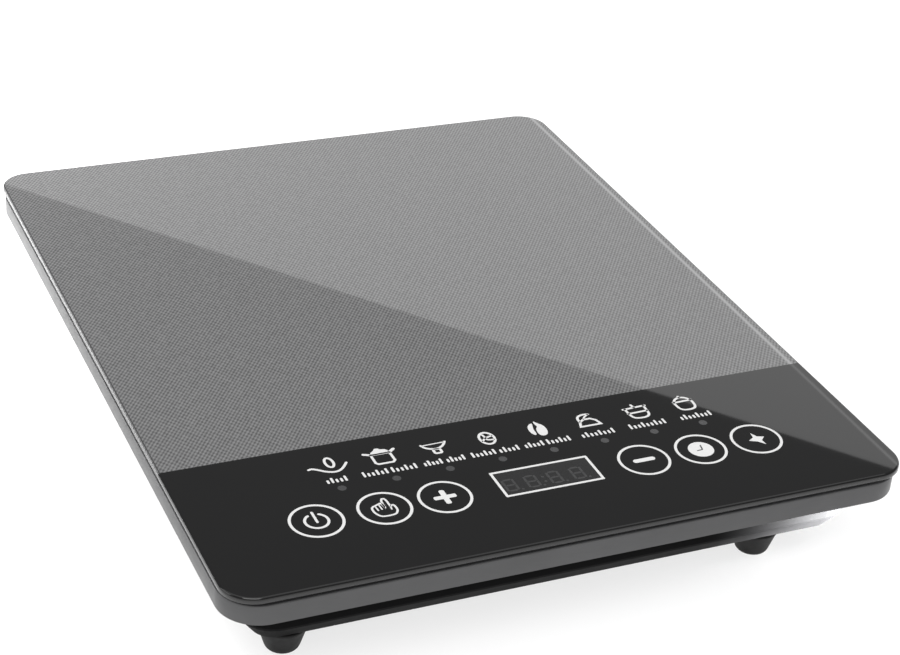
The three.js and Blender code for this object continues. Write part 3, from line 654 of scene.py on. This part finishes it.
def symbol_hand(x, y, ink):
    """A pointing hand: one finger up, three folded ones beside it and a thumb."""
    hand = [(0.3, -0.9), (0.2, 4.2), (0.9, 6.0), (1.9, 6.0), (2.4, 4.4), (2.4, 0.2), (3.2, 1.3), (4.1, 0.9),
            (4.3, -1.8), (3.8, -3.3), (2.7, -4.7), (0.0, -5.0), (-2.8, -4.8), (-3.9, -3.5), (-4.7, -1.6),
            (-4.8, 0.8), (-4.2, 2.0), (-3.0, 2.4), (-1.5, 3.1), (-0.1, 3.6)]
    creases = [[(-3.0, 1.8), (-2.8, -0.7)], [(-1.4, 2.5), (-1.2, -0.4)], [(2.4, 0.3), (2.3, -1.3)]]
    parts = [stroke(at(smooth(hand, True, 2), x, y), 0.85 * MM, ink, closed=True)]
    return parts + [stroke(at(c, x, y), 0.6 * MM, ink) for c in creases]


def symbol_plus(x, y, ink):
    long, thick = 4.55, 1.1
    arm = [(thick, thick), (thick, long - 0.5), (thick - 0.5, long), (0.5 - thick, long), (-thick, long - 0.5)]
    cross = []
    for k in range(4):
        c, s = math.cos(math.radians(90 * k)), math.sin(math.radians(90 * k))
        cross += [(px * c - py * s, px * s + py * c) for px, py in arm]
    return [filled(at(cross, x, y), ink)]


def symbol_minus(x, y, ink):
    return [stroke(at([(-3.6, 0), (3.6, 0)], x, y), 2.3 * MM, ink)]


def symbol_timer(x, y, ink):
    """A white clock face with two dark hands."""
    dark = material("print_dark")
    hands = [[(1.1, 2.5), (0.5, -0.3)], [(0.4, -0.45), (-1.8, -0.6)]]
    face = filled(at(circle(0, -0.1, 5.2), x, y), ink)
    return [face] + [stroke(at(h, x, y), 0.55 * MM, dark, top=HANDS_TOP) for h in hands]


def symbol_boost(x, y, ink):
    bolt = [(-0.3, 4.4), (1.2, 1.5), (3.9, 0.5), (1.7, -1.5),
            (2.0, -4.7), (-0.4, -1.9), (-3.5, -0.4), (-0.7, 1.3)]
    return [filled(at(bolt[::-1], x, y), ink)]


def mark_fry(ink):
    line = smooth([(-85.5, -104.6), (-84.0, -104.2), (-81.6, -105.9), (-79.7, -107.5), (-77.4, -108.5),
                   (-75.5, -108.7), (-73.7, -108.0), (-71.9, -106.4), (-70.0, -103.9)], rounds=2)
    egg = circle(-76.3, -102.1, 1.6, 32, 3.2)
    return [stroke(at(line), LINE, ink), stroke(at(egg), LINE, ink, closed=True)]


def mark_pot(ink):
    body = [(-59.4, -102.2), (-51.6, -102.2), (-51.5, -107.8),
            (-52.5, -108.8), (-58.5, -108.8), (-59.4, -107.8)]
    lid = [(-59.3, -102.6), (-58.9, -100.6), (-57.4, -99.5), (-56.5, -98.3), (-55.2, -98.3), (-54.4, -99.2),
           (-52.6, -99.6), (-51.8, -100.6), (-51.5, -102.4)]
    handles = [[(-59.4, -102.0), (-61.9, -100.9)], [(-51.6, -102.0), (-49.3, -100.3)]]
    pot = [stroke(at(body), LINE, ink, closed=True), filled(at(lid[::-1]), ink)]
    return pot + lines(handles, 1.3 * MM, ink)


def mark_bowl(ink):
    bowl = smooth([(-38.4, -101.7), (-37.3, -103.9), (-35.0, -105.1), (-33.4, -105.4), (-31.2, -104.8),
                   (-29.4, -103.3), (-28.3, -101.5)], rounds=2)
    rim = [(-37.8, -101.9), (-33.4, -101.8), (-29.0, -101.7)]
    foot = rounded(-34.9, -32.0, -108.4, -105.6, 0.7)
    return [stroke(at(bowl), LINE, ink), stroke(at(rim), 0.6 * MM, ink),
            stroke(at(foot), LINE, ink, closed=True)]


def mark_wok(ink):
    ring = circle(-11.4, -104.4, 3.0, 40, 4.1)
    inner = [smooth([(-13.9, -105.9), (-12.0, -104.0), (-9.0, -103.2)], rounds=2),
             [(-11.8, -104.0), (-12.3, -101.6)],
             smooth([(-12.2, -104.2), (-11.6, -105.6), (-9.2, -105.9)], rounds=2)]
    return [stroke(at(ring), LINE, ink, closed=True)] + lines(inner, 0.9 * MM, ink)


def mark_flame(ink):
    """Two tongues side by side."""
    left = smooth([(10.2, -99.6), (8.8, -100.0), (7.4, -101.4), (6.7, -104.0), (7.0, -106.7), (8.2, -108.2),
                   (8.9, -107.0), (8.8, -104.4), (9.5, -102.0)], True, 1)
    right = smooth([(11.1, -98.2), (12.3, -100.3), (13.8, -102.2), (14.2, -105.2), (13.3, -108.4),
                    (11.5, -109.4), (9.9, -108.8), (9.5, -106.4), (10.1, -103.8), (11.3, -102.4),
                    (10.8, -100.6)], True, 1)
    return [filled(at(left), ink), filled(at(right[::-1]), ink)]


def mark_kettle(ink):
    body = [(27.9, -108.0), (36.8, -108.0), (35.9, -104.9), (34.1, -103.3), (31.1, -103.3), (29.0, -104.8)]
    handle = smooth([(29.0, -104.4), (29.1, -101.7), (30.6, -100.2), (33.1, -99.8), (34.7, -100.2)], rounds=2)
    spout = smooth([(31.4, -103.0), (32.4, -101.6), (34.5, -100.3)], rounds=1)
    return [stroke(at(body), LINE, ink, closed=True), stroke(at(handle), LINE, ink),
            stroke(at(spout), FINE, ink)]


def mark_steamer(ink):
    body = smooth([(50.8, -101.2), (50.9, -105.8), (51.5, -108.0), (53.4, -109.0),
                   (56.8, -109.0), (58.6, -107.9), (59.2, -105.6), (59.4, -101.0)], rounds=1)
    bands = [[(49.9, -101.4), (60.0, -100.9)], [(50.6, -104.9), (59.4, -104.6)]]
    return [stroke(at(body), LINE, ink)] + lines(bands + [[(55.0, -101.2), (54.6, -99.1)]], LINE, ink)


def mark_soup(ink):
    body = smooth([(72.4, -102.4), (72.5, -106.4), (73.4, -108.5), (75.4, -109.1),
                   (77.6, -109.1), (79.5, -108.3), (80.3, -106.2), (80.3, -102.2)], rounds=1)
    lid = smooth([(72.5, -102.8), (73.8, -100.8), (75.6, -99.9),
                  (77.2, -99.8), (79.0, -100.7), (80.3, -102.6)], rounds=1)
    seam = [[(73.2, -102.8), (79.6, -102.6)], [(76.4, -99.8), (76.4, -98.9)]]
    return [stroke(at(body), LINE, ink), stroke(at(lid), LINE, ink)] + lines(seam, LINE, ink)


# Plain upright dashes under each mark: (first, last, how many) for every group, in millimetres.
CAPTIONS = (
    ((-81.2, -74.0, 5),),
    ((-66.6, -57.4, 6), (-54.9, -45.6, 6)),
    ((-41.6, -35.0, 5), (-32.2, -25.6, 5)),
    ((-21.6, -12.6, 6), (-9.9, -2.6, 5)),
    ((1.0, 8.0, 5), (10.6, 19.6, 6)),
    ((25.8, 39.0, 8),),
    ((47.0, 62.0, 9),),
    ((70.0, 82.8, 8),),
)


def caption_dashes(ink):
    parts = []
    for groups in CAPTIONS:
        for first, last, count in groups:
            for i in range(count):
                x = first + (last - first) * i / (count - 1)
                tall = i == count - 1 or (i + count) % 3 == 0
                head = CAPTION_FOOT + (CAPTION_TALL if tall else CAPTION_LOW)
                parts.append(stroke(at([(x, CAPTION_FOOT), (x, head)]), 0.95 * MM, ink))
    return parts


def seven_segments(x, y, width, height, ink):
    """The unlit segments of one digit."""
    bar, gap = 1.0, 0.35
    parts = []
    for level in (-1, 0, 1):
        cy = y + level * height / 2
        shape = hexagon(x, cy, width - bar - 2 * gap, bar)
        parts.append(filled(at(shape), ink, top=GHOST_TOP))
    for side in (-1, 1):
        for level in (-1, 1):
            shape = hexagon(y + level * height / 4, x + side * width / 2, height / 2 - 2 * gap, bar)
            parts.append(filled(at([(b, a) for a, b in shape][::-1]), ink, top=GHOST_TOP))
    return parts


def hexagon(x, y, length, thick):
    h, t = length / 2, thick / 2
    return [(x - h - t, y), (x - h, y - t), (x + h, y - t), (x + h + t, y), (x + h, y + t), (x - h, y + t)]


def display_window():
    """A white line round a dark pane, with the unlit digits and the two dots between hours and minutes."""
    x0, x1, y0, y1 = DISPLAY
    half = DISPLAY_LINE / 2
    ghost = material("print_ghost")
    outer = at(rounded(x0 - half, x1 + half, y0 - half, y1 + half, 0.5))
    inner = at(rounded(x0 + half, x1 - half, y0 + half, y1 - half, 0.2))
    edge = flat_ring(outer, inner, PRINT_TOP, material("print_white"))
    window = filled(inner, material("display_pane"), top=PANE_TOP)
    digits = []
    for x in DIGITS:
        digits += seven_segments(x, DIGIT_ROW, 4.3, 7.2, ghost)
        digits.append(filled(at(circle(3.7, -3.7, 0.55, 16), x, DIGIT_ROW), ghost, top=GHOST_TOP))
    for rise in (-1.6, 1.6):
        digits.append(filled(at(circle(COLON_X, rise, 0.6, 16), 0, DIGIT_ROW), ghost, top=GHOST_TOP))
    return [edge, window] + digits


def build_print():
    ink = material("print_white")
    draw = {"power": symbol_power, "hand": symbol_hand, "plus": symbol_plus, "minus": symbol_minus,
            "timer": symbol_timer, "boost": symbol_boost}
    for name, x in KEYS.items():
        ring = stroke(at(circle(0, 0, KEY_RADIUS, 72), x, KEY_ROW), KEY_LINE, ink, closed=True)
        put(join(f"key_print_{name}", [ring] + draw[name](x, KEY_ROW, ink)))
    marks = []
    for draw_mark in (mark_fry, mark_pot, mark_bowl, mark_wok,
                      mark_flame, mark_kettle, mark_steamer, mark_soup):
        marks += draw_mark(ink)
    put(join("programme_marks", marks))
    put(join("caption_dashes", caption_dashes(ink)))
    dots = []
    for i in range(len(CAPTIONS)):
        shape = at(circle(0, 0, LAMP_RADIUS, 32), LAMP_FIRST + i * LAMP_PITCH, LAMP_ROW)
        dots.append(filled(shape, material("lamp_dot"), top=GHOST_TOP))
    put(join("lamp_dots", dots))
    put(join("display_print", display_window()))


# ---- Case --------------------------------------------------------------------------------------

def build_glass():
    """The plate: ground sides, and a polished edge rounded over towards the top."""
    edge = outline(GLASS_LOW.x, GLASS_HIGH.x, GLASS_LOW.y, GLASS_HIGH.y, GLASS_CORNER)
    levels = [
        (GLASS_LOW.z, grown(edge, -0.4 * MM)),
        (GLASS_LOW.z + 0.12 * MM, grown(edge, -0.12 * MM)),
        (GLASS_LOW.z + 0.35 * MM, edge),
    ]
    for i in range(EDGE_STEPS + 1):
        a = i / EDGE_STEPS * math.pi / 2
        drop, reach = BEVEL_DOWN * (1 - math.sin(a)), BEVEL_OUT * (1 - math.cos(a))
        levels.append((GLASS_TOP - drop, grown(edge, -reach)))
    return put(loft("glass_top", levels, material("black_glass"), sharp=40), replaces="glass_plate")


def build_rim():
    """The moulded rim: rounded outside, a ledge for the glass, a flange below, a skirt inside the shell."""
    edge = outline(FRAME_LOW.x, FRAME_HIGH.x, FRAME_LOW.y, FRAME_HIGH.y, FRAME_CORNER)
    inside = grown(edge, -RIM_WALL)
    ledge = grown(inside, -LEDGE_WIDTH)
    lip = grown(SHELL_INSIDE, -LIP)
    low, high = RIM_LOW, FRAME_HIGH.z
    levels = [
        (low, grown(edge, -0.75 * MM)), (low + 0.08 * MM, grown(edge, -0.4 * MM)),
        (low + 0.3 * MM, grown(edge, -0.12 * MM)), (low + 0.75 * MM, edge),
        (high - 0.45 * MM, edge), (high - 0.2 * MM, grown(edge, -0.06 * MM)),
        (high - 0.06 * MM, grown(edge, -0.2 * MM)), (high, grown(edge, -0.45 * MM)),
        (high, ledge), (LEDGE_BOTTOM, ledge), (LEDGE_BOTTOM, inside),
        (low + FLANGE, inside), (low + FLANGE, lip), (low, lip),
    ]
    rim = loft("rim", levels, material("rim"), loop=True)
    skirt_out = grown(SHELL_INSIDE, -CLEAR)
    skirt_in = grown(skirt_out, -SKIRT)
    foot, root = FRAME_LOW.z + SKIRT_RISE, low + SKIRT_ROOT
    levels = [(foot, skirt_out), (root, skirt_out), (root, skirt_in), (foot, skirt_in)]
    skirt = loft("skirt", levels, material("rim"), loop=True)
    gap = block("gap", (GLAND_X - GLAND_GAP, 150 * MM, 0), (GLAND_X + GLAND_GAP, 172 * MM, low - SLIVER))
    carve(skirt, gap)
    carve(rim, skirt, "UNION")
    for x, y, side in EARS:
        reach = {"left": lip[0] - MM, "right": lip[1] + MM, "front": lip[2] - MM, "rear": lip[3] + MM}[side]
        if side in ("left", "right"):
            (x0, x1), (y0, y1) = sorted((x, reach)), (y - EAR_HALF, y + EAR_HALF)
        else:
            (x0, x1), (y0, y1) = (x - EAR_HALF, x + EAR_HALF), sorted((y, reach))
        carve(rim, block("ear", (x0, y0, low + SLIVER), (x1, y1, low + FLANGE - 0.01 * MM)), "UNION")
        carve(rim, post("boss", BOSS_RADIUS, BOSS_HEIGHT, (x, y, FRAME_LOW.z), 32), "UNION")
        carve(rim, post("pilot", PILOT_RADIUS, PILOT_HEIGHT, (x, y, FRAME_LOW.z - MM), 24))
    finish_mesh(rim, material("rim"))
    put(rim, replaces="top_frame")


def build_seal():
    """The black gasket between the rim and the glass; its edge shows as a dark line."""
    low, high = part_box("glass_seal")
    edge = outline(low.x, high.x, low.y, high.y, FRAME_CORNER - 0.5 * MM)
    inner = grown(edge, -SEAL_WIDTH)
    levels = [(low.z, grown(edge, -0.2 * MM)), (low.z + 0.2 * MM, edge), (high.z - 0.2 * MM, edge),
              (high.z, grown(edge, -0.2 * MM)), (high.z, inner), (low.z, inner)]
    put(loft("gasket", levels, material("seal"), loop=True), replaces="glass_seal")


def build_feet():
    """Four tapered rubber feet: rounded soles, a small step at the top and a stud into the case."""
    for name in ("front_left", "front_right", "rear_left", "rear_right"):
        low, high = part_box(f"foot_{name}")
        centre = ((low.x + high.x) / 2, (low.y + high.y) / 2, 0)
        top, stud = SHELL_BOTTOM - CLEAR, high.z
        profile = [(0, 0), (4.2 * MM, 0), (5.2 * MM, 0.12 * MM), (6.0 * MM, 0.5 * MM), (6.5 * MM, 1.1 * MM),
                   (6.95 * MM, 2.2 * MM), (9.15 * MM, 9.4 * MM), (9.5 * MM, 9.9 * MM),
                   (9.65 * MM, top - 0.6 * MM), (9.5 * MM, top - 0.2 * MM), (9.1 * MM, top),
                   (3.0 * MM, top), (3.0 * MM, stud - 0.6 * MM), (2.4 * MM, stud), (0, stud)]
        foot = lathe(f"rubber_foot_{name}", profile, material("foot"), 64, centre)
        put(foot, replaces=f"foot_{name}")


def build_gland():
    """The ribbed bush that the mains cord passes through."""
    low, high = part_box("cord_gland")
    x, z = (low.x + high.x) / 2, (low.z + high.z) / 2
    bore, barrel, flange = 3.4 * MM, 4.2 * MM, 5.35 * MM
    rib, groove = barrel + 0.45 * MM, barrel + 0.1 * MM
    profile = [(bore, low.y), (flange - 0.4 * MM, low.y), (flange, low.y + 0.4 * MM), (flange, low.y + 2 * MM),
               (barrel, low.y + 2 * MM), (barrel, GLAND_FACE), (flange - 0.2 * MM, GLAND_FACE),
               (flange, GLAND_FACE + 0.2 * MM), (flange, GLAND_FACE + 1.0 * MM),
               (flange - 0.5 * MM, GLAND_FACE + 1.7 * MM)]
    for k in range(4):
        y = GLAND_FACE + (1.7 + 0.65 * k) * MM
        profile += [(rib, y), (rib, y + 0.35 * MM), (groove, y + 0.4 * MM), (groove, y + 0.6 * MM)]
    profile += [(barrel - 0.1 * MM, high.y - 0.05 * MM), (barrel - 0.4 * MM, high.y),
                (bore + 0.1 * MM, high.y), (bore, high.y - 0.15 * MM)]
    gland = lathe("cord_bush", profile, material("foot"), 48, (x, 0, z), axis="Y", loop=True)
    put(gland, replaces="cord_gland")


# ---- Camera, floor and light -------------------------------------------------------------------

CAMERA_PLACE = (-330.7, -740.4, 489.9)   # mm
CAMERA_TURN = (25.241, 29.503, 4.255)    # yaw, pitch and roll, degrees
CAMERA_LENS = 86.13

FLOOR = 8.0                              # half its side, in metres as everything below
WORLD = 0.26
CARD_HEADING, CARD_TILT = 25.0, 15.57    # degrees
CARD_OUT, CARD_ACROSS, CARD_TOP = 1.5, 0.02, 0.8936
CARD_WIDTH, CARD_HEIGHT, CARD_RADIANCE = 2.4, 1.0, 0.95
END_LAMP_SPREAD = 34                     # degrees
LAMPS = {                                # centre, direction, width, height, radiance
    "overhead": ((0.1, -0.1, 2.2), (0, 0, -1), 3.2, 3.2, 0.8),
    "front_box": ((-0.65, -1.4, 1.84), (0.65, 1.4, -1.8), 1.6, 1.6, 3.2),
    "side_box": ((-1.5, 0.25, 0.72), (1.5, -0.25, -0.7), 1.0, 1.2, 1.6),
    "floor_lamp": ((-0.28, 0.24, 0.25), (0, 0, -1), 0.2, 0.2, 13.0),
    "floor_wash": ((0, 0, 2.0), (0, 0, -1), 3.0, 3.0, 2.5),
    "end_lamp": ((0.16, -0.22, 0.018), (-0.048, 0.05, 0), 0.02, 0.02, 340.0),
    "plate_lamp": ((-0.33, 0.34, 0.2), (0.23, -0.21, -0.16), 0.2, 0.2, 7.2),
}


def add_camera():
    """The view: from the front left, looking down, with a slight roll."""
    yaw, pitch, roll = (math.radians(angle) for angle in CAMERA_TURN)
    right = Vector((math.cos(yaw), -math.sin(yaw), 0))
    ahead = Vector((math.sin(yaw) * math.cos(pitch), math.cos(yaw) * math.cos(pitch), -math.sin(pitch)))
    up = right.cross(ahead)
    side = math.cos(roll) * right + math.sin(roll) * up
    top = -math.sin(roll) * right + math.cos(roll) * up
    data = bpy.data.cameras.new("view")
    data.lens = CAMERA_LENS
    data.sensor_width = 36
    data.clip_start = 0.01
    camera = bpy.data.objects.new("view", data)
    turn = Matrix((side, top, -ahead)).transposed().to_4x4()
    camera.matrix_world = Matrix.Translation(Vector(CAMERA_PLACE) * MM) @ turn
    bpy.context.scene.collection.objects.link(camera)
    bpy.context.scene.camera = camera


def softbox(name, centre, facing, width, height, radiance, lit=None):
    """A rectangular light that looks along facing; lit is the collection that it reaches."""
    data = bpy.data.lights.new(name, "AREA")
    data.shape = "RECTANGLE"
    data.size = width
    data.size_y = height
    data.energy = radiance * math.pi * width * height
    light = bpy.data.objects.new(name, data)
    turn = Vector(facing).to_track_quat("-Z", "Y").to_matrix().to_4x4()
    light.matrix_world = Matrix.Translation(Vector(centre)) @ turn
    light.visible_camera = False
    bpy.context.scene.collection.objects.link(light)
    if lit:
        light.light_linking.receiver_collection = lit
    return light


def only(name, obj):
    """A collection that holds one object, for a light that reaches nothing else."""
    group = bpy.data.collections.new(name)
    group.objects.link(obj)
    return group


def add_card():
    """A card behind the cooktop, whose straight upper edge the glass mirrors from corner to corner."""
    heading, tilt = math.radians(CARD_HEADING), math.radians(CARD_TILT)
    out = Vector((math.sin(heading), math.cos(heading), 0))
    across = Vector((math.cos(heading), -math.sin(heading), 0))
    up = Vector((0, 0, 1))
    edge = across * math.cos(tilt) + up * math.sin(tilt)
    down = out.cross(edge)
    middle = out * CARD_OUT + across * CARD_ACROSS + up * CARD_TOP + down * CARD_HEIGHT / 2
    card = softbox("card", middle, -out, CARD_WIDTH, CARD_HEIGHT, CARD_RADIANCE)
    card.matrix_world = Matrix.Translation(middle) @ Matrix((edge, down, out)).transposed().to_4x4()


def add_floor():
    s = Shader("floor", (0.88, 0.88, 0.88), 0.9)
    s.color(s.blend(s.noise(3.0), (0.87, 0.87, 0.87), (0.9, 0.9, 0.9)))
    verts = [(-FLOOR, -FLOOR, 0), (FLOOR, -FLOOR, 0), (FLOOR, FLOOR, 0), (-FLOOR, FLOOR, 0)]
    floor = mesh_object("floor", verts, [(0, 1, 2, 3)], s.material)
    return floor


def add_light(floor, plate):
    """Soft studio light, with a few lamps that reach only one object."""
    add_card()

    # the boxes above, in front and at the side light the cooktop only
    spared = only("floor_spared", floor)
    spared.collection_objects[0].light_linking.link_state = "EXCLUDE"
    for name in ("overhead", "front_box", "side_box"):
        softbox(name, *LAMPS[name], lit=spared)

    # a pool beside the back left corner, mirrored by the rim and the glass's ground side
    floor_only = only("floor_only", floor)
    softbox("floor_lamp", *LAMPS["floor_lamp"], lit=floor_only)

    # a wash over the whole floor that keeps the shadow under the case pale
    wash = softbox("floor_wash", *LAMPS["floor_wash"], lit=floor_only)
    wash.light_linking.blocker_collection = floor_only

    # a narrow beam on the right end of the case's front wall
    case_only = only("case_only", frame["nodes"]["bottom_shell"])
    beam = softbox("end_lamp", *LAMPS["end_lamp"], lit=case_only)
    beam.data.spread = math.radians(END_LAMP_SPREAD)

    # a near lamp that lifts the weave's far left corner
    near = softbox("plate_lamp", *LAMPS["plate_lamp"], lit=only("plate_only", plate))
    near.visible_glossy = False

    world = bpy.data.worlds.new("studio")
    world.use_nodes = True
    world.node_tree.nodes["Background"].inputs["Color"].default_value = (WORLD, WORLD, WORLD, 1)
    bpy.context.scene.world = world
    bpy.context.scene.view_settings.view_transform = "Standard"


# ---- Scene -------------------------------------------------------------------------------------

def dress_cad():
    """Each CAD node that is kept wears the material of its slot in the record."""
    slots = {row["node"]: row["material_slot"] for row in frame["record"]["subparts"]}
    for node, obj in frame["nodes"].items():
        look = slots[node]
        if look in MATERIALS:
            obj.data.materials.clear()
            obj.data.materials.append(material(look))


make_materials()
add_camera()
add_light(add_floor(), build_glass())
build_print()
build_seal()
build_rim()
build_feet()
build_gland()
dress_cad()
